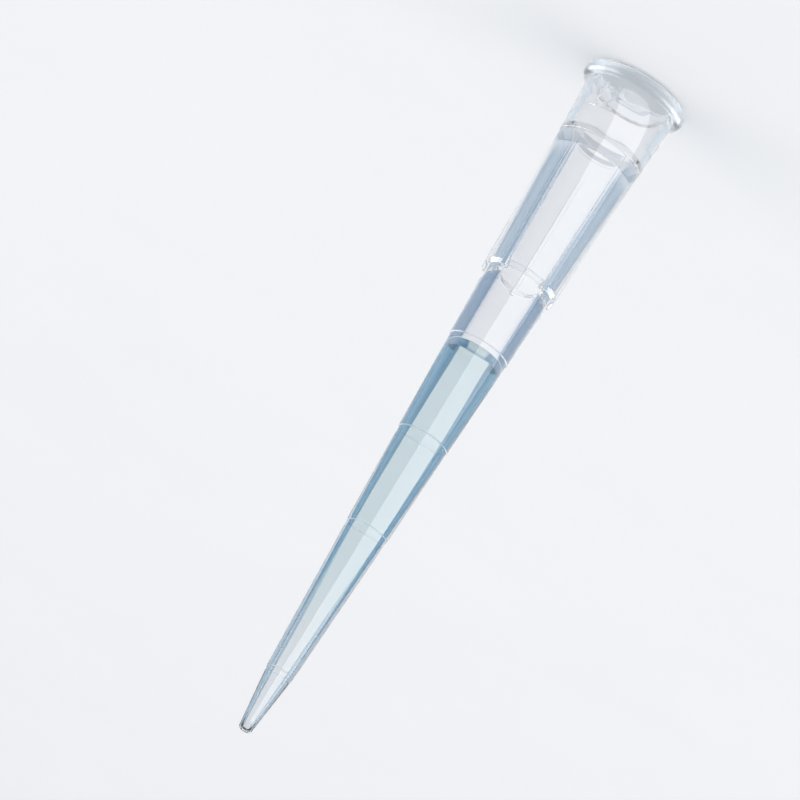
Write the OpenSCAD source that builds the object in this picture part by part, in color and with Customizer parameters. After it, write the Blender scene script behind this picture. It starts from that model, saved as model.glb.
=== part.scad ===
// Pipette tip, 200 microlitre class, with the measured liquid it holds.
// The tip stands on its wide rim: the rim face is z = 0, the axis is Z, and the point is up.
// All sizes are in millimetres.

/* [Overall] */
// Length from the rim face to the point
tip_length = 53; // [51:0.5:64]

/* [Socket] */
// Inner diameter of the sealing land that grips the nozzle
land_d = 5.32; // [5.1:0.01:6.4]
// Depth below the rim face at which the sealing land begins
land_depth = 2.12; // [1.9:0.02:2.4]
// Length of the sealing land
land_h = 1.8; // [1.4:0.02:2.1]
// How much wider than the land the socket is at the inner end of its lead-in
lead_extra = 0.14; // [0.04:0.02:0.2]
// Depth below the rim face of the lead-in's inner end
lead_depth = 1.56; // [1.2:0.02:1.8]
// How much wider than the land the mouth is, at the middle of the bead
mouth_extra = 0.22; // [0.1:0.02:0.4]
// How much narrower than the land the socket is at the stop ledge
stop_less = 0.12; // [0.04:0.02:0.3]
// Depth below the rim face of the stop ledge's outer edge
stop_depth = 4.74; // [4.6:0.02:5]
// Width of the stop ledge
stop_w = 0.37; // [0.2:0.01:0.5]
// Length of the sloping stop ledge
stop_h = 0.46; // [0.3:0.02:0.6]

/* [Flange] */
// Diameter of the round bead that edges the flange
bead_d = 1.08; // [0.9:0.02:1.3]
// How much of the bead is cut flat to make the rim face
rim_flat = 0.05; // [0.02:0.01:0.12]
// How far the flange reaches out from the collar
flange_reach = 0.49; // [0.4:0.01:1.2]
// Thickness of the flange between the collar and its bead
flange_web = 0.8; // [0.6:0.02:0.84]

/* [Collar] */
// Height of the collar, from the rim face to its end ring
collar_h = 5.34; // [5.2:0.02:6.4]
// Wall of the collar at the mouth
rim_wall = 0.59; // [0.5:0.01:0.8]
// Wall of the collar at its end ring, measured from the land's diameter
collar_wall = 0.47; // [0.44:0.01:0.7]
// Radial step from the collar down to the ribbed body
collar_step = 0.025; // [0.01:0.005:0.06]

/* [Ribbed body] */
// Height of the shoulder above the rim face, at its wide edge
shoulder_z = 16; // [14:0.2:18]
// Outer diameter of the body at the shoulder's wide edge
shoulder_d = 5.36; // [5.1:0.02:5.8]
// How far the shoulder steps in to the cone
shoulder_step = 0.215; // [0.1:0.005:0.3]
// Length of the shoulder's chamfer
shoulder_h = 0.36; // [0.2:0.02:0.6]
// Number of ribs around the body
rib_count = 5; // [3:1:8]
// Width of a rib
rib_w = 0.44; // [0.3:0.02:0.6]
// How far a rib's free end stands out from the shoulder
rib_end_proud = 0.13; // [0.06:0.01:0.3]
// How far a rib's free end runs past the shoulder's chamfer
rib_overrun = 0.18; // [0.1:0.02:0.6]

/* [Cone] */
// Distance of the fill ring from the point
fill_ring = 31.1; // [29:0.1:33]
// Distance of the middle graduation ring from the point
mid_ring = 23.6; // [20:0.1:26]
// Distance of the low graduation ring from the point
low_ring = 16.1; // [12:0.1:19]
// Distance from the point at which the fine end begins
fine_end = 4.6; // [3.6:0.1:6]
// Outer diameter on the point's side of the fill ring
fill_ring_d = 4.38; // [4.2:0.01:4.6]
// Outer diameter on the point's side of the middle ring
mid_ring_d = 3.69; // [3.5:0.01:3.9]
// Outer diameter on the point's side of the low ring
low_ring_d = 3.01; // [2.8:0.01:3.2]
// Outer diameter where the fine end begins
fine_end_d = 1.95; // [1.8:0.01:2.2]
// Outer diameter of the point's end face
point_d = 0.92; // [0.85:0.01:1.2]
// Radial height of the step at the fill ring
fill_step = 0.055; // [0.03:0.005:0.08]
// Radial height of the step at the two graduation rings
ring_step = 0.03; // [0.02:0.005:0.05]

/* [Bore] */
// Length of the funnel between the stop ledge and the bore
funnel_h = 0.9; // [0.6:0.05:1.4]
// Bore diameter below the funnel
bore_top_d = 3.72; // [3.5:0.02:3.9]
// Bore diameter level with the shoulder
bore_shoulder_d = 3.04; // [2.9:0.02:3.2]
// Bore diameter level with the fill ring
bore_fill_d = 2.86; // [2.7:0.02:2.88]
// Bore diameter where the fine end begins
bore_fine_d = 0.94; // [0.8:0.02:1.1]
// Diameter of the hole at the point
orifice_d = 0.44; // [0.36:0.02:0.5]

/* [Liquid] */
// Distance from the point to the liquid's edge on the bore wall
liquid_level = 30.9; // [15:0.1:44]
// Depth of the meniscus at its middle
meniscus = 0.16; // [0.05:0.01:0.3]

/* [Hidden] */
$fn = 96;
plastic = [0.86, 0.92, 0.96, 0.55];
liquid_blue = [0.62, 0.78, 0.86, 0.8];

// Diameters of the socket, the collar and the flange
mouth_d = land_d + mouth_extra;
lead_d = land_d + lead_extra;
stop_outer_d = land_d - stop_less;
stop_inner_d = stop_outer_d - 2 * stop_w;
collar_rim_d = mouth_d + 2 * rim_wall;
collar_end_d = land_d + 2 * collar_wall;
flange_d = collar_rim_d + 2 * flange_reach;
cone_base_d = shoulder_d - 2 * shoulder_step;
// Radius and height of the circle through the middle of the bead
bead_ring_r = (flange_d - bead_d) / 2;
bead_z = bead_d / 2 - rim_flat;
// Radius of the middle of the wall at the rim
rim_middle_r = (collar_rim_d + mouth_d) / 4;
// Heights above the rim face
cone_z = shoulder_z + shoulder_h;
fill_z = tip_length - fill_ring;
mid_z = tip_length - mid_ring;
low_z = tip_length - low_ring;
fine_z = tip_length - fine_end;
level_z = tip_length - liquid_level;
funnel_z = stop_depth + stop_h + funnel_h;
// Outer corners of a rib, and how deep its root is sunk in the wall
rib_top_r = collar_end_d / 2 - collar_step / 2;
rib_end_r = shoulder_d / 2 + rib_end_proud;
rib_end_z = cone_z + rib_overrun;
rib_corner = 0.06;
rib_root = 0.25;

// Outer outline as [radius, height], from the rim to the point. Each ring is a step with a
// chamfer as long as it is high.
outer_line = [
    [collar_rim_d / 2, bead_z],
    [collar_end_d / 2, collar_h - collar_step],
    [collar_end_d / 2 - collar_step, collar_h],
    [shoulder_d / 2, shoulder_z],
    [cone_base_d / 2, cone_z],
    [fill_ring_d / 2 + fill_step, fill_z - fill_step],
    [fill_ring_d / 2, fill_z],
    [mid_ring_d / 2 + ring_step, mid_z - ring_step],
    [mid_ring_d / 2, mid_z],
    [low_ring_d / 2 + ring_step, low_z - ring_step],
    [low_ring_d / 2, low_z],
    [fine_end_d / 2, fine_z],
    [point_d / 2, tip_length]
];

// Inner outline as [radius, height], from the point back to the rim
inner_line = [
    [orifice_d / 2, tip_length],
    [bore_fine_d / 2, fine_z],
    [bore_fill_d / 2, fill_z],
    [bore_shoulder_d / 2, cone_z],
    [bore_top_d / 2, funnel_z],
    [stop_inner_d / 2, stop_depth + stop_h],
    [stop_outer_d / 2, stop_depth],
    [land_d / 2, land_depth + land_h],
    [land_d / 2, land_depth],
    [lead_d / 2, lead_depth],
    [mouth_d / 2, bead_z]
];

// Bore radius at the liquid's edge, read from the inner outline, and the radius of the sphere
// that the meniscus is part of
level_r = lookup(level_z, [for (p = inner_line) [p[1], p[0]]]);
meniscus_r = (level_r * level_r + meniscus * meniscus) / (2 * meniscus);

// Section of the flange: its bead, with the rim face cut flat and the mouth clear, and the web
// that carries a bead which stands clear of the collar
module flange_section() {
    difference() {
        translate([bead_ring_r, bead_z]) circle(d = bead_d);
        translate([0, -bead_d]) square([flange_d, bead_d]);
        square([mouth_d / 2, 2 * bead_d]);
    }
    polygon([
        [mouth_d / 2, bead_z],
        [rim_middle_r, bead_z - flange_web / 2],
        [bead_ring_r, bead_z - flange_web / 2],
        [bead_ring_r, bead_z + flange_web / 2],
        [rim_middle_r, bead_z + flange_web / 2]
    ]);
}

// The revolved wall with its flange
module shell() {
    rotate_extrude() {
        polygon(concat(outer_line, inner_line));
        flange_section();
    }
}

// One rib: a thin radial fin that rises from the body and ends just past the shoulder
module rib() {
    rotate([90, 0, 0])
    translate([0, 0, -rib_w / 2])
    linear_extrude(rib_w)
    polygon([
        [rib_top_r - rib_root, collar_h - rib_root],
        [rib_top_r, collar_h - rib_root],
        [rib_top_r, collar_h],
        [rib_end_r, rib_end_z - rib_corner],
        [rib_end_r - rib_corner, rib_end_z],
        [cone_base_d / 2 - rib_root, rib_end_z],
        [shoulder_d / 2 - rib_root, shoulder_z]
    ]);
}

module tip() {
    color(plastic)
    union() {
        shell();
        for (i = [0 : rib_count - 1])
            rotate([0, 0, 90 + i * 360 / rib_count]) rib();
    }
}

// The liquid fills the bore from the hole at the point down to its meniscus
module liquid() {
    color(liquid_blue)
    difference() {
        rotate_extrude()
        polygon(concat(
            [[0, level_z], [level_r, level_z]],
            [for (i = [len(inner_line) - 1 : -1 : 0]) if (inner_line[i][1] > level_z) inner_line[i]],
            [[0, tip_length]]
        ));
        translate([0, 0, level_z + meniscus - meniscus_r]) sphere(r = meniscus_r);
    }
}

tip();
liquid();
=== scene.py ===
"""A clear pipette tip with a charge of pale blue liquid, standing on its wide rim, point up.

Lengths are in millimetres until a mesh, a lamp, the camera or a material is made, and MM turns
them into metres. Heights are measured from the rim face, which is z = 0. The axis is Z.
"""
import math

import bpy
from mathutils import Matrix, Vector


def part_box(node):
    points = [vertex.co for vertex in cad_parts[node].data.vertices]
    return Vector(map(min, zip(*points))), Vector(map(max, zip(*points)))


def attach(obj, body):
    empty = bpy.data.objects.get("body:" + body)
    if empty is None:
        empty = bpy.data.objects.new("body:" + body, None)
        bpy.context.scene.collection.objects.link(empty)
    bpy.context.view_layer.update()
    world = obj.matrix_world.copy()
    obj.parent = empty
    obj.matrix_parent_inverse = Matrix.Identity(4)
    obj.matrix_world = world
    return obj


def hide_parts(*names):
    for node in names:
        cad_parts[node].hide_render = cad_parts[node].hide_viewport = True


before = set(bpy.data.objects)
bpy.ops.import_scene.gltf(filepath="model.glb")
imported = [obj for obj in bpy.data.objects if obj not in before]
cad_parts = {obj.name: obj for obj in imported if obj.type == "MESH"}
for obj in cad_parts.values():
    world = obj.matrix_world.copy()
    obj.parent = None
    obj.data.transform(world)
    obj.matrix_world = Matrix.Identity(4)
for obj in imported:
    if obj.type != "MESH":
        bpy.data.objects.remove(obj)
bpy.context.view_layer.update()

MM = 0.001

# ---------------------------------------------------------------- sizes
# R is a radius, Z a height above the rim face, H a height of its own and W a width
TIP_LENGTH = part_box("tip")[1].z / MM
FLANGE_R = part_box("tip")[1].x / MM
LEVEL_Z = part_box("liquid")[0].z / MM

# The round bead that edges the flange, and the flat cut on it that makes the rim face
BEAD_R = 0.54
RIM_FLAT = 0.05
BEAD_Z = BEAD_R - RIM_FLAT
BEAD_RING_R = FLANGE_R - BEAD_R

# The collar, from its foot on the bead to the step at its end
COLLAR_FOOT_R = 3.334
COLLAR_END_R, COLLAR_H, COLLAR_STEP = 3.13, 5.34, 0.025

# The shoulder, a short chamfer from the ribbed body in to the cone
SHOULDER_R, SHOULDER_Z = 2.68, 16.0
CONE_BASE_R, CONE_Z = 2.465, 16.36

# The ribs: their spacing, half their width, the taper of their flanks, and their outer edge
RIBS = 5
FIRST_RIB = math.radians(90)
RIB_STEP = math.tau / RIBS
RIB_HALF_W, RIB_DRAFT = 0.215, 0.04
RIB_TOP_R = 3.117
RIB_END_R, RIB_END_Z = 2.81, 16.54
RIB_NOSE = 0.12  # radius of the free end's corner
RIB_END_RUN = 0.03  # how far the end face leans
RIB_ROOT = 0.3  # how deep the foot of a flank is sunk in the wall

# The rings on the cone, each a step down to the radius beyond it, and the steeper fine end
FILL_Z = TIP_LENGTH - 31.1
MID_Z = TIP_LENGTH - 23.6
LOW_Z = TIP_LENGTH - 16.1
FINE_Z = TIP_LENGTH - 4.6
RINGS = (FILL_Z, MID_Z, LOW_Z, FINE_Z)
FILL_RING_R, FILL_STEP = 2.19, 0.055
MID_RING_R, LOW_RING_R, RING_STEP, RING_RUN = 1.845, 1.505, 0.045, 0.056
FINE_END_R, FINE_STEP = 0.975, 0.02
POINT_R = 0.46

# The bore, from the hole at the point back to the stop ledge, and the socket that a nozzle fits
ORIFICE_R, ORIFICE_DRAFT, ORIFICE_LENGTH = 0.22, 0.004, 0.06
BORE_FINE_R = 0.47
BORE_FILL_R = 1.43
BORE_SHOULDER_R = 1.52
BORE_TOP_R, FUNNEL_Z = 1.86, 6.1
STOP_INNER_R, STOP_INNER_Z = 2.23, 5.2
STOP_OUTER_R, STOP_OUTER_Z = 2.6, 4.74
LAND_R, LAND_START_Z, LAND_END_Z = 2.66, 2.12, 3.92
LEAD_R, LEAD_Z = 2.73, 1.56
MOUTH_R = 2.77

# The liquid: how deep its meniscus is, and how its skin meets the wall
MENISCUS = 0.16
WETTING = 0.012  # how deep the skin lies in the wall, so that light passes straight through
DRY_EDGE = 0.4  # how far from its edge the skin stays just clear of the wall instead
DRY_GAP = 0.004
LIQUID_END_Z = TIP_LENGTH - 0.05

# How matt the skin is, from 0, as polished as the rest, to 1
BEAD_FROST = 0.6
RIB_FROST = 0.12
NUMBER_FROST = 0.8
RING_FROST = 0.9
END_FROST = 0.5

# How closely rows of points lie, in millimetres up the tip
NUMBER_ROWS = 0.03
RIB_END_ROWS = 0.015
BODY_ROWS, SHOULDER_ROWS = 0.6, 0.08
CONE_ROWS, RING_ROWS = 1.2, 0.05


# ---------------------------------------------------------------- outlines
def arc(centre, radius, start, end, steps):
    """Points (radius, height) on an arc, with angles in degrees from the outward direction."""
    points = []
    for i in range(steps + 1):
        angle = math.radians(start + (end - start) * i / steps)
        points.append((centre[0] + radius * math.cos(angle), centre[1] + radius * math.sin(angle)))
    return points


def smooth(t):
    """A share from 0 to 1, eased at both ends and held there beyond them."""
    t = min(max(t, 0.0), 1.0)
    return t * t * (3 - 2 * t)


def rounded(corners, steps=5):
    """Points (radius, height) from corners (radius, height, fillet), each with its fillet."""
    points = [corners[0][:2]]
    for before, corner, after in zip(corners, corners[1:], corners[2:]):
        here = Vector(corner[:2])
        back = Vector(before[:2]) - here
        ahead = Vector(after[:2]) - here
        half = back.angle(ahead) / 2
        most = 0.45 * min(back.length, ahead.length)
        reach = min(corner[2] / math.tan(half), most)
        start = here + back.normalized() * reach
        end = here + ahead.normalized() * reach
        for i in range(steps + 1):
            t = i / steps
            points.append(tuple(start * (1 - t) ** 2 + here * 2 * t * (1 - t) + end * t * t))
    points.append(corners[-1][:2])
    return points


def divided(points, step_at):
    """Adds points to an outline, so that they lie about step_at(height) apart."""
    out = [points[0]]
    for (r0, z0), (r1, z1) in zip(points, points[1:]):
        z, length = z0, math.hypot(r1 - r0, z1 - z0)
        done = 0.0
        while length - done > 1.4 * step_at(z):
            done += step_at(z)
            t = done / length
            z = z0 + (z1 - z0) * t
            out.append((r0 + (r1 - r0) * t, z))
        out.append((r1, z1))
    return out


def outer_step(z):
    """How far apart the outside's rows lie at a height.

    They are closest at the raised number, at the ribs' ends, and at each edge that is matt.
    """
    if z < NUMBER_Z + NUMBER_REACH:
        return NUMBER_ROWS
    if RIB_END_Z - 0.3 < z < RIB_END_Z + 0.06:
        return RIB_END_ROWS
    if z < CONE_Z:
        return min(max(0.6 * abs(z - SHOULDER_Z), SHOULDER_ROWS), BODY_ROWS)
    return min(max(0.5 * min(abs(z - ring) for ring in RINGS), RING_ROWS), CONE_ROWS)


def outside_outline():
    """The tip's outside from the collar's foot, over the end face, to the hole at the point."""
    corners = [
        (COLLAR_FOOT_R, BEAD_Z + BEAD_R, 0),
        (COLLAR_END_R, COLLAR_H - COLLAR_STEP, 0.02),
        (COLLAR_END_R - COLLAR_STEP, COLLAR_H, 0.02),
        (SHOULDER_R, SHOULDER_Z, 0.1),
        (CONE_BASE_R, CONE_Z, 0.08),
        (FILL_RING_R + FILL_STEP, FILL_Z - FILL_STEP, 0.06),
        (FILL_RING_R, FILL_Z, 0.06),
        (MID_RING_R + RING_STEP, MID_Z - RING_RUN, 0.06),
        (MID_RING_R, MID_Z, 0.06),
        (LOW_RING_R + RING_STEP, LOW_Z - RING_RUN, 0.06),
        (LOW_RING_R, LOW_Z, 0.06),
        (FINE_END_R + FINE_STEP, FINE_Z - FINE_STEP, 0.05),
        (FINE_END_R, FINE_Z, 0.05),
        (POINT_R, TIP_LENGTH, 0.05),
        (ORIFICE_R, TIP_LENGTH, 0),
    ]
    return divided(rounded(corners), outer_step)


def bore_outline():
    """The tip's inside from the hole at the point back to the mouth."""
    corners = [
        (ORIFICE_R, TIP_LENGTH, 0),
        (ORIFICE_R + ORIFICE_DRAFT, TIP_LENGTH - ORIFICE_LENGTH, 0.02),
        (BORE_FINE_R, FINE_Z, 1.5),
        (BORE_FILL_R, FILL_Z, 3.0),
        (BORE_SHOULDER_R, CONE_Z, 3.0),
        (BORE_TOP_R, FUNNEL_Z, 0.5),
        (STOP_INNER_R, STOP_INNER_Z, 0.1),
        (STOP_OUTER_R, STOP_OUTER_Z, 0.1),
        (LAND_R, LAND_END_Z, 4.0),
        (LAND_R, LAND_START_Z, 4.0),
        (LEAD_R, LEAD_Z, 4.0),
        (MOUTH_R, BEAD_Z, 0),
    ]
    return divided(rounded(corners, steps=7), lambda z: CONE_ROWS)


def bead_outline():
    """The round bead of the flange, from the mouth under the flat rim face to the collar's foot."""
    flat = math.degrees(math.asin(BEAD_Z / BEAD_R))
    foot = math.degrees(math.acos((COLLAR_FOOT_R - BEAD_RING_R) / BEAD_R))
    centre = (BEAD_RING_R, BEAD_Z)
    inner = arc(centre, BEAD_R, 180, 180 + flat, steps=12)
    outer = arc(centre, BEAD_R, 360 - flat, 360 + foot, steps=30)
    return inner + outer


# ---------------------------------------------------------------- the raised cavity number
NUMBER = "12"
NUMBER_Z, NUMBER_H = 2.52, 1.75
NUMBER_ANGLE = math.radians(300.6)
NUMBER_REACH = NUMBER_H * 0.6  # how far up and down from its middle it may stand out
DIGIT_W, DIGIT_PITCH = 0.72, 1.0
DIGIT_SLANT = 0.12
STROKE_W, STROKE_EDGE, STROKE_PROUD = 0.19, 0.06, 0.07

# Strokes of each digit on a board one unit wide and one high, as joined points
TWO_BOWL = [
    (0.5 - 0.42 * math.cos(i * math.pi / 10), 0.7 + 0.3 * math.sin(i * math.pi / 10))
    for i in range(12)
]
DIGIT_STROKES = {
    "1": [[(0.25, 0.74), (0.62, 1.0), (0.62, 0.0)], [(0.3, 0.0), (0.94, 0.0)]],
    "2": [TWO_BOWL + [(0.06, 0.0), (0.96, 0.0)]],
}


def number_strokes():
    """The number's strokes as pairs of points (across, up) about the number's middle."""
    pairs = []
    for order, digit in enumerate(NUMBER):
        middle = (order - (len(NUMBER) - 1) / 2) * DIGIT_PITCH
        for stroke in DIGIT_STROKES[digit]:
            line = []
            for x, y in stroke:
                up = (y - 0.5) * NUMBER_H
                line.append((middle + (x - 0.5) * DIGIT_W + up * DIGIT_SLANT, up))
            pairs += list(zip(line, line[1:]))
    return pairs


def number_height(strokes, across, up):
    """How far the raised number stands out of the collar at a place."""
    nearest = STROKE_W
    for (x0, y0), (x1, y1) in strokes:
        dx, dy = x1 - x0, y1 - y0
        t = ((across - x0) * dx + (up - y0) * dy) / (dx * dx + dy * dy)
        t = min(max(t, 0.0), 1.0)
        nearest = min(nearest, math.hypot(across - x0 - t * dx, up - y0 - t * dy))
    return STROKE_PROUD * smooth((STROKE_W / 2 - nearest) / STROKE_EDGE)


def from_number(angle):
    """How far an angle lies from the number's, from minus to plus half a turn."""
    return (angle - NUMBER_ANGLE + math.pi) % math.tau - math.pi


def raised_at(strokes, angle, radius, z):
    """How far the number stands out of the collar at a place on it."""
    across, up = -from_number(angle) * radius, NUMBER_Z - z
    if z > COLLAR_H or abs(across) > DIGIT_PITCH + DIGIT_W or abs(up) > NUMBER_REACH:
        return 0.0
    return number_height(strokes, across, up)


# ---------------------------------------------------------------- the tip's mesh
RIB_REACH = 0.36  # how far from a rib's middle the closely set columns go
RIB_PLACES = (
    0, 0.05, 0.1, 0.145, 0.175, 0.1875, 0.2, 0.2125, 0.225, 0.24, 0.27, 0.31, RIB_REACH
)
NUMBER_PLACES = [i * 0.03 for i in range(13)]
NUMBER_TURN, PLAIN_TURN = math.radians(0.55), math.radians(3.6)  # between columns, off the ribs


def turned(radius, across):
    """Angle from a rib's middle plane to a place that lies that far across it."""
    return math.asin(across / max(radius, CONE_BASE_R))


def columns():
    """Stations round the tip as (rib, across, share of the gap to the next rib).

    They lie close together at each rib's flanks and under the raised number.
    """
    edge = turned(LAND_R, RIB_REACH)
    gap = RIB_STEP - 2 * edge
    number_half = (DIGIT_PITCH + DIGIT_W) / 2 / COLLAR_END_R
    stations = []
    for rib in range(RIBS):
        middle = FIRST_RIB + rib * RIB_STEP
        places = NUMBER_PLACES if abs(from_number(middle)) < number_half else RIB_PLACES
        stations += [(rib, -p, 0) for p in reversed(places[1:])] + [(rib, p, 0) for p in places]
        share = 0.0
        while True:
            near = abs(from_number(middle + edge + share * gap)) < number_half + 0.03
            share += (NUMBER_TURN if near else PLAIN_TURN) / gap
            if share > 0.985:
                break
            stations.append((rib, RIB_REACH, share))
    return stations


def rib_radius(across, z):
    """Radius of a rib's outside at a place, or 0 where there is no rib."""
    beside = abs(across) >= RIB_HALF_W + RIB_DRAFT / 2
    if beside or not COLLAR_H < z < RIB_END_Z + RIB_END_RUN:
        return 0.0
    t = (z - COLLAR_H) / (RIB_END_Z - COLLAR_H)
    top = RIB_TOP_R + (RIB_END_R - RIB_TOP_R) * t
    nose = max(z - (RIB_END_Z - RIB_NOSE), 0.0)
    top -= RIB_NOSE - math.sqrt(max(RIB_NOSE * RIB_NOSE - nose * nose, 0.0))
    if z > RIB_END_Z:
        top -= (z - RIB_END_Z) / RIB_END_RUN * (top - CONE_BASE_R)
    side = smooth((RIB_HALF_W + RIB_DRAFT / 2 - abs(across)) / RIB_DRAFT)
    base = SHOULDER_R - RIB_ROOT
    return base + (top - base) * side


def station_angle(station, radius):
    """Angle of a column where the surface has that radius."""
    rib, across, share = station
    angle = FIRST_RIB + rib * RIB_STEP + turned(radius, across)
    if share:
        angle += share * (RIB_STEP - 2 * turned(radius, RIB_REACH))
    return angle


def grid_mesh(name, rows, closed_rows, frost=None):
    """A piece from rows of points, each a closed ring.

    The last row joins the first where closed_rows is true, and else each end closes in a pole.
    Where frost is given, it has the same rows, and says how matt the skin is at each point.
    """
    count = len(rows[0])
    vertices = [p for row in rows for p in row]
    faces = []
    row_pairs = list(zip(range(len(rows)), range(1, len(rows))))
    if closed_rows:
        row_pairs.append((len(rows) - 1, 0))
    for a, b in row_pairs:
        for i in range(count):
            j = (i + 1) % count
            faces.append((a * count + i, a * count + j, b * count + j, b * count + i))
    if not closed_rows:
        for row, flip in ((0, True), (len(rows) - 1, False)):
            pole = len(vertices)
            middle = sum((Vector(p) for p in rows[row]), Vector()) / count
            vertices.append(tuple(middle))
            for i in range(count):
                j = (i + 1) % count
                ring = (row * count + i, row * count + j, pole)
                faces.append(tuple(reversed(ring)) if flip else ring)
    mesh = bpy.data.meshes.new(name)
    mesh.from_pydata([(x * MM, y * MM, z * MM) for x, y, z in vertices], [], faces)
    mesh.validate()
    mesh.shade_smooth()
    if frost:
        layer = mesh.attributes.new("frost", "FLOAT", "POINT")
        layer.data.foreach_set("value", [value for row in frost for value in row])
    piece = bpy.data.objects.new(name, mesh)
    bpy.context.scene.collection.objects.link(piece)
    return piece


def edge_frost(z):
    """How matt the outside is at a height: on the rings, the shoulder's edges and the end face."""
    if z > TIP_LENGTH - 0.03:
        return END_FROST
    on_ring = any(-FILL_STEP - 0.01 < z - ring < 0.01 for ring in RINGS)
    on_shoulder = abs(z - SHOULDER_Z) < 0.04 or abs(z - CONE_Z) < 0.03
    return RING_FROST if on_ring or on_shoulder else 0.0


def plain_rows(outline, stations):
    """A row of points for each point of an outline that is the same all round."""
    return [[place(station_angle(s, r), r, z) for s in stations] for r, z in outline]


def ribbed_rows(outline, stations):
    """The outside's rows with its ribs and its number, and how matt each point is."""
    strokes = number_strokes()
    rows, frost = [], []
    for r, z in outline:
        row, matt = [], []
        for s in stations:
            on_rib = 0.0 if s[2] else rib_radius(s[1], z)
            radius = max(r, on_rib)
            angle = station_angle(s, radius)
            raised = raised_at(strokes, angle, r, z)
            row.append(place(angle, radius + raised, z))
            skin = RIB_FROST if on_rib > r + 0.01 else edge_frost(z)
            matt.append(max(skin, NUMBER_FROST * raised / STROKE_PROUD))
        rows.append(row)
        frost.append(matt)
    return rows, frost


def make_tip():
    """The moulded tip as one closed skin: the bead, the ribbed outside, the end and the bore."""
    stations = columns()
    bead = plain_rows(bead_outline()[:-1], stations)
    outside, outside_frost = ribbed_rows(outside_outline()[:-1], stations)
    bore = plain_rows(bore_outline()[:-1], stations)
    frost = [[BEAD_FROST] * len(stations)] * len(bead) + outside_frost
    frost += [[0.0] * len(stations)] * len(bore)
    return grid_mesh("moulded_tip", bead + outside + bore, closed_rows=True, frost=frost)


def place(angle, radius, z):
    """A point in space from its angle round the axis, its radius and its height."""
    return (radius * math.cos(angle), radius * math.sin(angle), z)


# ---------------------------------------------------------------- the liquid's mesh
MENISCUS_RINGS = 24
LIQUID_COLUMNS = 160


def bore_radius(z):
    """Radius of the bore at a height above the funnel."""
    line = bore_outline()
    for (r1, z1), (r0, z0) in zip(line, line[1:]):
        if z0 <= z <= z1:
            return r0 + (r1 - r0) * (z - z0) / (z1 - z0)
    return line[-1][0]


def liquid_outline():
    """The liquid's outline from its meniscus, up the bore and over its end in the hole."""
    edge = bore_radius(LEVEL_Z)
    sphere = (edge * edge + MENISCUS * MENISCUS) / (2 * MENISCUS)
    middle_z = LEVEL_Z + MENISCUS - sphere
    points = []
    for i in range(1, MENISCUS_RINGS):
        r = edge * i / MENISCUS_RINGS
        points.append((r, middle_z + math.sqrt(sphere * sphere - r * r)))
    points.append((edge, LEVEL_Z + 0.002))
    wet_z = LEVEL_Z + DRY_EDGE
    points += [(bore_radius(z) - DRY_GAP, z) for z in (LEVEL_Z + 0.02, wet_z)]
    for r, z in reversed(bore_outline()):
        if wet_z + 0.02 < z < LIQUID_END_Z - 0.02:
            points.append((r + WETTING, z))
    points += [
        (ORIFICE_R + WETTING, LIQUID_END_Z - 0.02),
        (ORIFICE_R * 0.98, LIQUID_END_Z),
        (ORIFICE_R * 0.5, LIQUID_END_Z + 0.02),
    ]
    return points


def make_liquid():
    """The charge of liquid as one closed skin."""
    turns = [math.tau * i / LIQUID_COLUMNS for i in range(LIQUID_COLUMNS)]
    rows = [[place(angle, r, z) for angle in turns] for r, z in liquid_outline()]
    return grid_mesh("liquid_charge", rows, closed_rows=False)


# ---------------------------------------------------------------- materials
def new_material(name):
    """An empty material and its node tree."""
    material = bpy.data.materials.new(name)
    material.use_nodes = True
    tree = material.node_tree
    tree.nodes.clear()
    return material, tree


def add_node(tree, kind, **values):
    """Adds a node and sets its own properties."""
    node = tree.nodes.new(kind)
    for key, value in values.items():
        setattr(node, key, value)
    return node


def feed(tree, socket, value):
    """Gives a socket another socket's value, a plain colour or a plain number."""
    if isinstance(value, bpy.types.NodeSocket):
        tree.links.new(value, socket)
    elif isinstance(value, tuple):
        socket.default_value = (*value, 1)
    else:
        socket.default_value = value


def compute(tree, operation, a, b=None, clamp=False):
    """The result of a Math node on sockets or plain numbers."""
    node = add_node(tree, "ShaderNodeMath", operation=operation, use_clamp=clamp)
    feed(tree, node.inputs[0], a)
    if b is not None:
        feed(tree, node.inputs[1], b)
    return node.outputs[0]


def times(tree, a, b):
    """The product of two values."""
    return compute(tree, "MULTIPLY", a, b)


def map_range(tree, value, low, high, from_value=0.0, to_value=1.0, smooth_step=True):
    """A value carried from one range to another, and held at its ends."""
    kind = "SMOOTHSTEP" if smooth_step else "LINEAR"
    node = add_node(tree, "ShaderNodeMapRange", interpolation_type=kind)
    feed(tree, node.inputs["Value"], value)
    for name, limit in (
        ("From Min", low), ("From Max", high), ("To Min", from_value), ("To Max", to_value)
    ):
        node.inputs[name].default_value = limit
    return node.outputs["Result"]


def along_axis(tree, letter, coordinates="Object"):
    """Where a point lies along the axis X, Y or Z."""
    source = tree.nodes.new("ShaderNodeTexCoord")
    split = tree.nodes.new("ShaderNodeSeparateXYZ")
    tree.links.new(source.outputs[coordinates], split.inputs["Vector"])
    return split.outputs[letter]


def map_height(tree, low, high, from_value=0.0, to_value=1.0, smooth_step=True):
    """A value that changes with height on the piece, from one level to another."""
    z = along_axis(tree, "Z")
    return map_range(tree, z, low * MM, high * MM, from_value, to_value, smooth_step)


def mix_colour(tree, factor, a, b, blend="MIX"):
    """A colour mix, where each of the factor and the colours is a socket or a plain value."""
    mix = add_node(tree, "ShaderNodeMix", data_type="RGBA", blend_type=blend)
    for socket, value in ((mix.inputs[0], factor), (mix.inputs[6], a), (mix.inputs[7], b)):
        feed(tree, socket, value)
    return mix.outputs[2]


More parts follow.
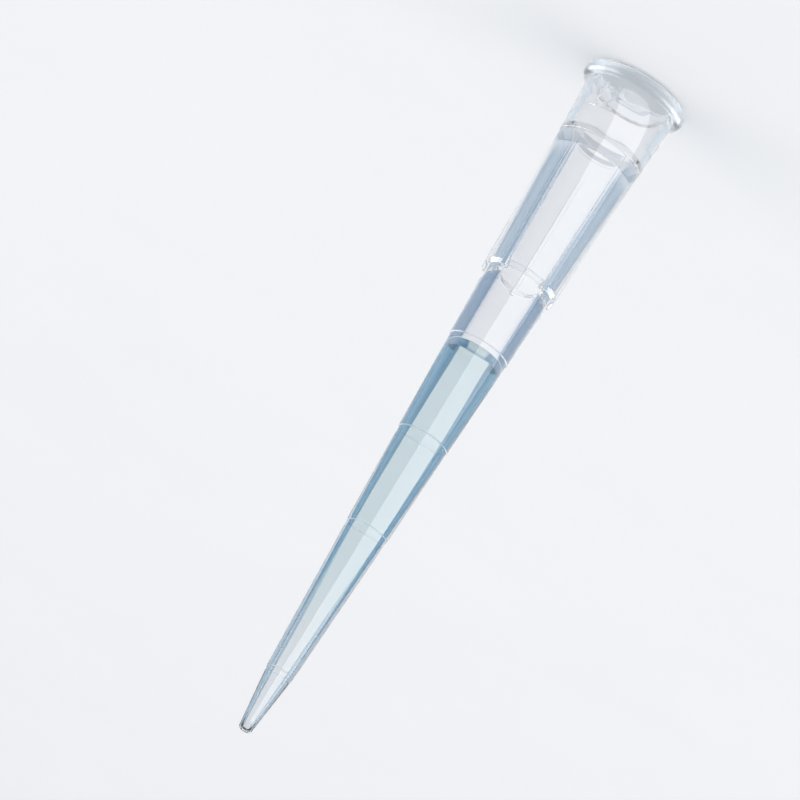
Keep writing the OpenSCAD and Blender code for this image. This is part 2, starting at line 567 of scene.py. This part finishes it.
def facing_away(tree):
    """How far the skin turns away: 0 where it is seen straight on, 1 at its outline."""
    layers = tree.nodes.new("ShaderNodeLayerWeight")
    layers.inputs["Blend"].default_value = 0.5
    return layers.outputs["Facing"]


def outside_only(tree):
    """1 where light meets the skin from outside the piece, and 0 from inside."""
    geometry = tree.nodes.new("ShaderNodeNewGeometry")
    return compute(tree, "SUBTRACT", 1.0, geometry.outputs["Backfacing"])


def painted_bands_group():
    """Colour across a clear round piece from how far its skin turns away: its own tint, and painted
    reflection in bands at its sides.

    Past Start, Middle gives way to Band within Softness. Past Rim Start, Band turns to Rim.
    """
    group = bpy.data.node_groups.new("painted_side_bands", "ShaderNodeTree")
    for name in ("Facing", "Start", "Softness", "Strength", "Rim Start"):
        group.interface.new_socket(name, in_out="INPUT", socket_type="NodeSocketFloat")
    for name in ("Middle", "Band", "Rim"):
        group.interface.new_socket(name, in_out="INPUT", socket_type="NodeSocketColor")
    group.interface.new_socket("Color", in_out="OUTPUT", socket_type="NodeSocketColor")
    given = group.nodes.new("NodeGroupInput").outputs
    out = group.nodes.new("NodeGroupOutput")
    past = compute(group, "SUBTRACT", given["Facing"], given["Start"])
    share = compute(group, "DIVIDE", past, given["Softness"], clamp=True)
    weight = times(group, share, given["Strength"])
    rim_past = compute(group, "SUBTRACT", given["Facing"], given["Rim Start"])
    rim_share = compute(group, "MULTIPLY", rim_past, 5.0, clamp=True)
    band = mix_colour(group, rim_share, given["Band"], given["Rim"])
    feed(group, out.inputs["Color"], mix_colour(group, weight, given["Middle"], band))
    return group


def add_painted_bands(tree, group, **values):
    """Places the painted side band group and gives its colour. Each value is named after its
    socket.
    """
    bands = add_node(tree, "ShaderNodeGroup", node_tree=group)
    feed(tree, bands.inputs["Facing"], facing_away(tree))
    for name, value in values.items():
        feed(tree, bands.inputs[name.replace("_", " ").title()], value)
    return bands.outputs["Color"]


def finish_clear(tree, shader, shadow_colour, path):
    """Sends the shader out, with light passing straight through to the shadows."""
    out = tree.nodes.new("ShaderNodeOutputMaterial")
    clear = tree.nodes.new("ShaderNodeBsdfTransparent")
    clear.inputs["Color"].default_value = (*shadow_colour, 1)
    mix = tree.nodes.new("ShaderNodeMixShader")
    tree.links.new(path.outputs["Is Shadow Ray"], mix.inputs["Fac"])
    tree.links.new(shader.outputs["BSDF"], mix.inputs[1])
    tree.links.new(clear.outputs["BSDF"], mix.inputs[2])
    tree.links.new(mix.outputs["Shader"], out.inputs["Surface"])
    return out


def flow_lines_group():
    """Faint long waves that follow the melt along the mould, as a height for a bump."""
    group = bpy.data.node_groups.new("flow_lines", "ShaderNodeTree")
    group.interface.new_socket("Width", in_out="INPUT", socket_type="NodeSocketFloat")
    group.interface.new_socket("Length", in_out="INPUT", socket_type="NodeSocketFloat")
    group.interface.new_socket("Height", in_out="OUTPUT", socket_type="NodeSocketFloat")
    given = group.nodes.new("NodeGroupInput").outputs
    out = group.nodes.new("NodeGroupOutput")
    coordinates = group.nodes.new("ShaderNodeTexCoord")
    scale = group.nodes.new("ShaderNodeCombineXYZ")
    stretch = add_node(group, "ShaderNodeVectorMath", operation="DIVIDE")
    noise = group.nodes.new("ShaderNodeTexNoise")
    noise.inputs["Scale"].default_value = 1.0
    noise.inputs["Detail"].default_value = 2.0
    for letter, size in (("X", "Width"), ("Y", "Width"), ("Z", "Length")):
        feed(group, scale.inputs[letter], given[size])
    feed(group, stretch.inputs[0], coordinates.outputs["Object"])
    feed(group, stretch.inputs[1], scale.outputs["Vector"])
    feed(group, noise.inputs["Vector"], stretch.outputs["Vector"])
    feed(group, out.inputs["Height"], noise.outputs["Fac"])
    return group


def add_flow_lines(tree, group, width, length, depth):
    """A normal bent by flow lines that wide, long and deep."""
    lines = add_node(tree, "ShaderNodeGroup", node_tree=group)
    lines.inputs["Width"].default_value = width * MM
    lines.inputs["Length"].default_value = length * MM
    bump = tree.nodes.new("ShaderNodeBump")
    bump.inputs["Distance"].default_value = depth * MM
    tree.links.new(lines.outputs["Height"], bump.inputs["Height"])
    return bump.outputs["Normal"]


def add_painted_stripes(tree, facing, dark, light):
    """A painted steel-blue reflection across a band of light turned back in the wall, lighter
    between its edges.
    """
    ramp = tree.nodes.new("ShaderNodeValToRGB")
    stops = ramp.color_ramp
    stops.interpolation = "EASE"
    stops.elements[0].position, stops.elements[0].color = 0.115, (*dark, 1)
    stops.elements[1].position, stops.elements[1].color = 0.21, (*dark, 1)
    stops.elements.new(0.16).color = (*light, 1)
    tree.links.new(facing, ramp.inputs["Fac"])
    return ramp.outputs["Color"]


def painted_reflection_colour(tree, path):
    """Painted reflection: a steel-blue tint on light that turns back inside the wall, early on its
    way, then clear.
    """
    facing = facing_away(tree)
    on_body = add_painted_stripes(tree, facing, (0.12, 0.215, 0.34), (0.25, 0.37, 0.5))
    on_cone = add_painted_stripes(tree, facing, (0.04, 0.1, 0.21), (0.075, 0.15, 0.27))
    at_point = map_height(tree, TIP_LENGTH - 1.6, TIP_LENGTH - 0.6)
    on_cone = mix_colour(tree, at_point, on_cone, (0.5, 0.64, 0.74))
    past_funnel = map_height(tree, 5.4, 7.0)
    on_body = mix_colour(tree, past_funnel, (0.52, 0.63, 0.74), on_body)
    past_shoulder = map_height(tree, SHOULDER_Z - 0.2, CONE_Z + 0.4)
    inside = mix_colour(tree, past_shoulder, on_body, on_cone)
    early = compute(tree, "LESS_THAN", path.outputs["Ray Depth"], 3.5)
    once = times(tree, early, path.outputs["Is Reflection Ray"])
    return mix_colour(tree, once, (0.935, 0.937, 0.944), inside)


def painted_point_bands(tree, bands):
    """Painted steel-blue reflection in side bands of the fine end, where the wall is too thin to
    turn much light back.
    """
    heights = times(
        tree, map_height(tree, 27, 37),
        map_height(tree, TIP_LENGTH - 0.2, TIP_LENGTH - 0.06, 1.0, 0.0),
    )
    near_point = map_height(tree, 36, 46)
    return add_painted_bands(
        tree, bands,
        start=map_height(tree, 34, 47, 0.47, 0.3),
        softness=0.08,
        strength=times(tree, heights, outside_only(tree)),
        middle=(1, 1, 1),
        band=mix_colour(tree, near_point, (0.52, 0.69, 0.79), (0.24, 0.37, 0.49)),
        rim_start=0.6,
        rim=(0.74, 0.86, 0.94),
    )


def make_plastic(bands, flow_lines):
    """Clear polypropylene, pale in the middle, with painted steel-blue reflection where light turns
    back inside it.
    """
    material, tree = new_material("clear_polypropylene")
    shader = tree.nodes.new("ShaderNodeBsdfPrincipled")
    shader.inputs["IOR"].default_value = 1.49
    shader.inputs["Transmission Weight"].default_value = 1
    path = tree.nodes.new("ShaderNodeLightPath")

    frost = add_node(tree, "ShaderNodeAttribute", attribute_name="frost").outputs["Fac"]
    milky = mix_colour(tree, frost, (1, 1, 1), (0.83, 0.87, 0.9))
    # Painted reflection: steel blue on light turned back in the wall, and in bands at the fine
    # end's sides
    painted_back_tint = painted_reflection_colour(tree, path)
    painted_tint = mix_colour(tree, 1.0, painted_back_tint, painted_point_bands(tree, bands), "MULTIPLY")
    feed(tree, shader.inputs["Base Color"], mix_colour(tree, 1.0, painted_tint, milky, "MULTIPLY"))
    roughness = map_range(tree, frost, 0.0, 1.0, 0.025, 0.32, smooth_step=False)
    feed(tree, shader.inputs["Roughness"], roughness)
    feed(tree, shader.inputs["Normal"], add_flow_lines(tree, flow_lines, 0.9, 14, 0.006))
    finish_clear(tree, shader, (0.965, 0.973, 0.98), path)
    return material


def make_liquid_material(bands):
    """Clear watery liquid with a pale blue tint, and painted reflection that makes it deeper blue
    at its sides and in light it reflects.
    """
    material, tree = new_material("pale_blue_liquid")
    shader = tree.nodes.new("ShaderNodeBsdfPrincipled")
    shader.inputs["Roughness"].default_value = 0.0
    shader.inputs["IOR"].default_value = 1.33
    shader.inputs["Transmission Weight"].default_value = 1
    path = tree.nodes.new("ShaderNodeLightPath")
    # Its own pale tint in the middle, with painted reflection in darker steel-blue bands at its
    # sides
    tint_and_painted_reflection = add_painted_bands(
        tree, bands,
        start=map_height(tree, 24, 47, 0.165, 0.5, smooth_step=False),
        softness=0.015,
        strength=times(tree, map_height(tree, 40, 47, 1.0, 0.0), outside_only(tree)),
        middle=mix_colour(tree, map_height(tree, 38, 50), (0.78, 0.88, 0.885), (0.93, 0.95, 0.95)),
        band=(0.05, 0.16, 0.3),
        rim_start=0.28,
        rim=(0.14, 0.33, 0.5),
    )
    # Painted reflection: light reflected inside the liquid is tinted steel blue
    tint_and_painted_reflection = mix_colour(tree, path.outputs["Is Reflection Ray"], tint_and_painted_reflection, (0.35, 0.55, 0.68))
    feed(tree, shader.inputs["Base Color"], tint_and_painted_reflection)
    out = finish_clear(tree, shader, (0.85, 0.93, 0.96), path)
    volume = tree.nodes.new("ShaderNodeVolumeAbsorption")
    volume.inputs["Color"].default_value = (0.43, 0.73, 0.79, 1)
    volume.inputs["Density"].default_value = 30
    feed(tree, out.inputs["Volume"], volume.outputs["Volume"])
    return material


def make_floor_material():
    """Matt card, very faintly mottled: painted shade makes it darker under the lamps, and it is
    cooler at its far edge.
    """
    material, tree = new_material("pale_card")
    out = tree.nodes.new("ShaderNodeOutputMaterial")
    shader = tree.nodes.new("ShaderNodeBsdfPrincipled")
    shader.inputs["Roughness"].default_value = 1.0
    shader.inputs["Specular IOR Level"].default_value = 0.0
    where = tree.nodes.new("ShaderNodeTexCoord").outputs["Object"]
    distance = add_node(tree, "ShaderNodeVectorMath", operation="LENGTH")
    noise = tree.nodes.new("ShaderNodeTexNoise")
    noise.inputs["Scale"].default_value = 60
    noise.inputs["Detail"].default_value = 4
    feed(tree, distance.inputs[0], where)
    feed(tree, noise.inputs["Vector"], where)
    far = map_range(tree, distance.outputs["Value"], 0.5, 1.1, smooth_step=False)
    # Painted shade: the card is darker where the lamps' light falls strongest
    aside = compute(tree, "ABSOLUTE", along_axis(tree, "X"))
    painted_shade_under_lamps = map_range(tree, aside, 0.15, 0.55)
    card = mix_colour(tree, noise.outputs["Fac"], (0.8, 0.81, 0.825), (0.825, 0.835, 0.85))
    card = mix_colour(tree, painted_shade_under_lamps, card, (0.5, 0.51, 0.53))
    card = mix_colour(tree, far, card, (0.84, 0.88, 0.92))
    feed(tree, shader.inputs["Base Color"], card)
    feed(tree, out.inputs["Surface"], shader.outputs["BSDF"])
    return material


# ---------------------------------------------------------------- stage, lamps and camera
MIDDLE = Vector((0, 0, TIP_LENGTH / 2))
LAMP_DISTANCE = 900

FLOOR_R, COVE_R, WALL_TOP = 1000.0, 300.0, 320.0
FLOOR_COLUMNS = 96


def make_floor():
    """A round pale floor whose far edge curves up into a wall."""
    line = [(60.0, 0.0), (200.0, 0.0), (FLOOR_R * 0.6, 0.0)]
    line += arc((FLOOR_R, COVE_R), COVE_R, -90, 0, steps=20)
    line.append((FLOOR_R + COVE_R, WALL_TOP))
    count = FLOOR_COLUMNS
    vertices = [place(math.tau * i / count, r, z) for r, z in line for i in range(count)]
    faces = []
    for inner in range(0, (len(line) - 1) * count, count):
        outer = inner + count
        for i in range(count):
            j = (i + 1) % count
            faces.append((inner + i, outer + i, outer + j, inner + j))
    middle = len(vertices)
    vertices.append((0, 0, 0))
    faces += [(middle, i, (i + 1) % count) for i in range(count)]
    mesh = bpy.data.meshes.new("studio_floor")
    mesh.from_pydata([(x * MM, y * MM, z * MM) for x, y, z in vertices], [], faces)
    mesh.shade_smooth()
    mesh.materials.append(make_floor_material())
    floor = bpy.data.objects.new("studio_floor", mesh)
    bpy.context.scene.collection.objects.link(floor)


def facing_turn(back, along):
    """The turn of something that looks away from back, with its second side along a direction."""
    back = Vector(back).normalized()
    side = Vector(along).cross(back).normalized()
    return Matrix((side, back.cross(side), back)).transposed().to_4x4()


def add_lamp(name, at, back, along, size, power, unseen):
    """A rectangular area lamp, which is kept out of some kinds of view."""
    lamp = bpy.data.lights.new(name, "AREA")
    lamp.shape = "RECTANGLE"
    lamp.size, lamp.size_y = size[0] * MM, size[1] * MM
    lamp.energy = power
    holder = bpy.data.objects.new(name, lamp)
    holder.matrix_world = Matrix.Translation(Vector(at) * MM) @ facing_turn(back, along)
    for way in unseen:
        setattr(holder, "visible_" + way, False)
    bpy.context.scene.collection.objects.link(holder)
    return lamp


def add_softbox(name, towards, size, power):
    """A softbox that faces the middle of the tip from a direction."""
    at = MIDDLE + Vector(towards).normalized() * LAMP_DISTANCE
    lamp = add_lamp(name, at, towards, (0, 0, 1), size, power, unseen=("transmission",))
    lamp.color = (1.0, 0.975, 0.95)


def add_highlight(name, at, back, along, size, power):
    """A lamp that shows only as a highlight on polished skin, and lights nothing else."""
    unseen = ("camera", "diffuse", "transmission", "volume_scatter")
    lamp = add_lamp(name, at, back, along, size, power, unseen)
    # Light that has already left the floor doesn't count
    lamp.use_nodes = True
    tree = lamp.node_tree
    path = tree.nodes.new("ShaderNodeLightPath")
    fresh = compute(tree, "LESS_THAN", path.outputs["Diffuse Depth"], 0.5)
    feed(tree, tree.nodes["Emission"].inputs["Strength"], fresh)


def add_strip(name, towards, along, size, power):
    """A highlight lamp that faces the middle of the tip from a direction."""
    towards = Vector(towards)
    add_highlight(name, MIDDLE + towards * LAMP_DISTANCE, towards, along, size, power)


def make_lamps():
    """Two softboxes, a strip beside each, a strip over the shoulder and a panel at the floor."""
    for name, way in (("left", 1), ("right", -1)):
        add_softbox(name + "_softbox", (way * 0.77, 0.0, 0.62), size=(850, 800), power=4.8)
    for name, way in (("left", 1), ("right", -1)):
        add_strip(
            "ring_strip_" + name, (way * 0.80, 0.31, 0.51), along=(way * -0.06, 0.865, -0.5),
            size=(440, 1250), power=10.4,
        )
    add_strip(
        "shoulder_strip", (-0.447, -0.609, 0.656), along=(-0.864, 0.482, -0.146),
        size=(260, 906), power=2.6,
    )
    add_highlight(
        "floor_panel", (-378.5, -502.5, 1), back=(0, 0, -1), along=(0, 1, 0),
        size=(763, 995), power=8.3,
    )


CAMERA_DISTANCE = 600.0
CAMERA_ELEVATION = math.radians(18.3)
CAMERA_ROLL = math.radians(211.654)
CAMERA_SLIDE = (-2.922, 0.382)  # to its right and up, as it is rolled
LENS, SENSOR_W = 402.8, 36


def make_camera():
    """A long lens that looks down on the tip, rolled so that its point is at the lower left."""
    tilt, roll = CAMERA_ELEVATION, CAMERA_ROLL
    up = Vector((0, math.sin(tilt), math.cos(tilt)))
    back = Vector((0, -math.cos(tilt), math.sin(tilt)))
    side = Vector((1, 0, 0))
    right = side * math.cos(roll) + up * math.sin(roll)
    top = up * math.cos(roll) - side * math.sin(roll)
    lens = bpy.data.cameras.new("camera")
    lens.lens, lens.sensor_width = LENS, SENSOR_W
    lens.clip_start, lens.clip_end = 0.05, 10
    camera = bpy.data.objects.new("camera", lens)
    at = MIDDLE + back * CAMERA_DISTANCE + right * CAMERA_SLIDE[0] + top * CAMERA_SLIDE[1]
    turn = Matrix((right, top, back)).transposed().to_4x4()
    camera.matrix_world = Matrix.Translation(at * MM) @ turn
    bpy.context.scene.collection.objects.link(camera)
    bpy.context.scene.camera = camera


def make_world():
    """Pale air, dim in front of the tip and bright above and behind it."""
    world = bpy.data.worlds.new("studio_air")
    world.use_nodes = True
    tree = world.node_tree
    background = tree.nodes["Background"]
    background.inputs["Color"].default_value = (0.84, 0.87, 0.91, 1)
    behind = along_axis(tree, "Y", coordinates="Generated")
    feed(tree, background.inputs["Strength"], map_range(tree, behind, -0.1, 0.7, 0.48, 0.88))
    # Light that comes through the clear pieces is counted once, by the rays that pass through
    world.cycles.sampling_method = "NONE"
    bpy.context.scene.world = world


# ---------------------------------------------------------------- put it together
make_camera()
make_world()
make_floor()
make_lamps()

painted_side_bands = painted_bands_group()
flow_lines = flow_lines_group()

tip = make_tip()
tip.data.materials.append(make_plastic(painted_side_bands, flow_lines))
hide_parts("tip")
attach(tip, "root")

liquid = make_liquid()
liquid.data.materials.append(make_liquid_material(painted_side_bands))
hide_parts("liquid")
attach(liquid, "root")

scene = bpy.context.scene
scene.view_settings.view_transform = "Standard"
# Light turns back many times inside a clear wall before it leaves
scene.cycles.max_bounces = 32
scene.cycles.glossy_bounces = 16
scene.cycles.transmission_bounces = 24
# The lamps shine through the clear pieces, so no second share of them comes off their skins
scene.cycles.caustics_reflective = False
